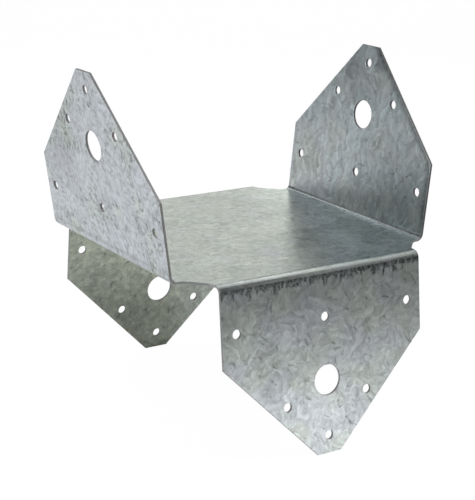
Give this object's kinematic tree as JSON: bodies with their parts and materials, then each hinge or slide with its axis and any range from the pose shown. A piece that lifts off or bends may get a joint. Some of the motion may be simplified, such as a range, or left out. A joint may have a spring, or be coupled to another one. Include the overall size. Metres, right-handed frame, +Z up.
{
  "type": "column cap",
  "caption": "Folded galvanised sheet-steel cap that joins a timber beam to the square post under it, with tapered flanges punched for nails and bolts.",
  "frame": {"origin": "middle of the plate's underside, where it sits on the post", "axes": "+Z up, away from the post; X across the beam, from the left flange to the right one; Y along the beam, from the front flange to the back one"},
  "size_m": [0.1633, 0.1611, 0.1719],
  "materials": {
    "galvanised_steel": "hot-dip galvanised, with a fine leafy spangle"
  },
  "bodies": {
    "root": {"column_cap": "galvanised_steel"}
  },
  "joints": []
}
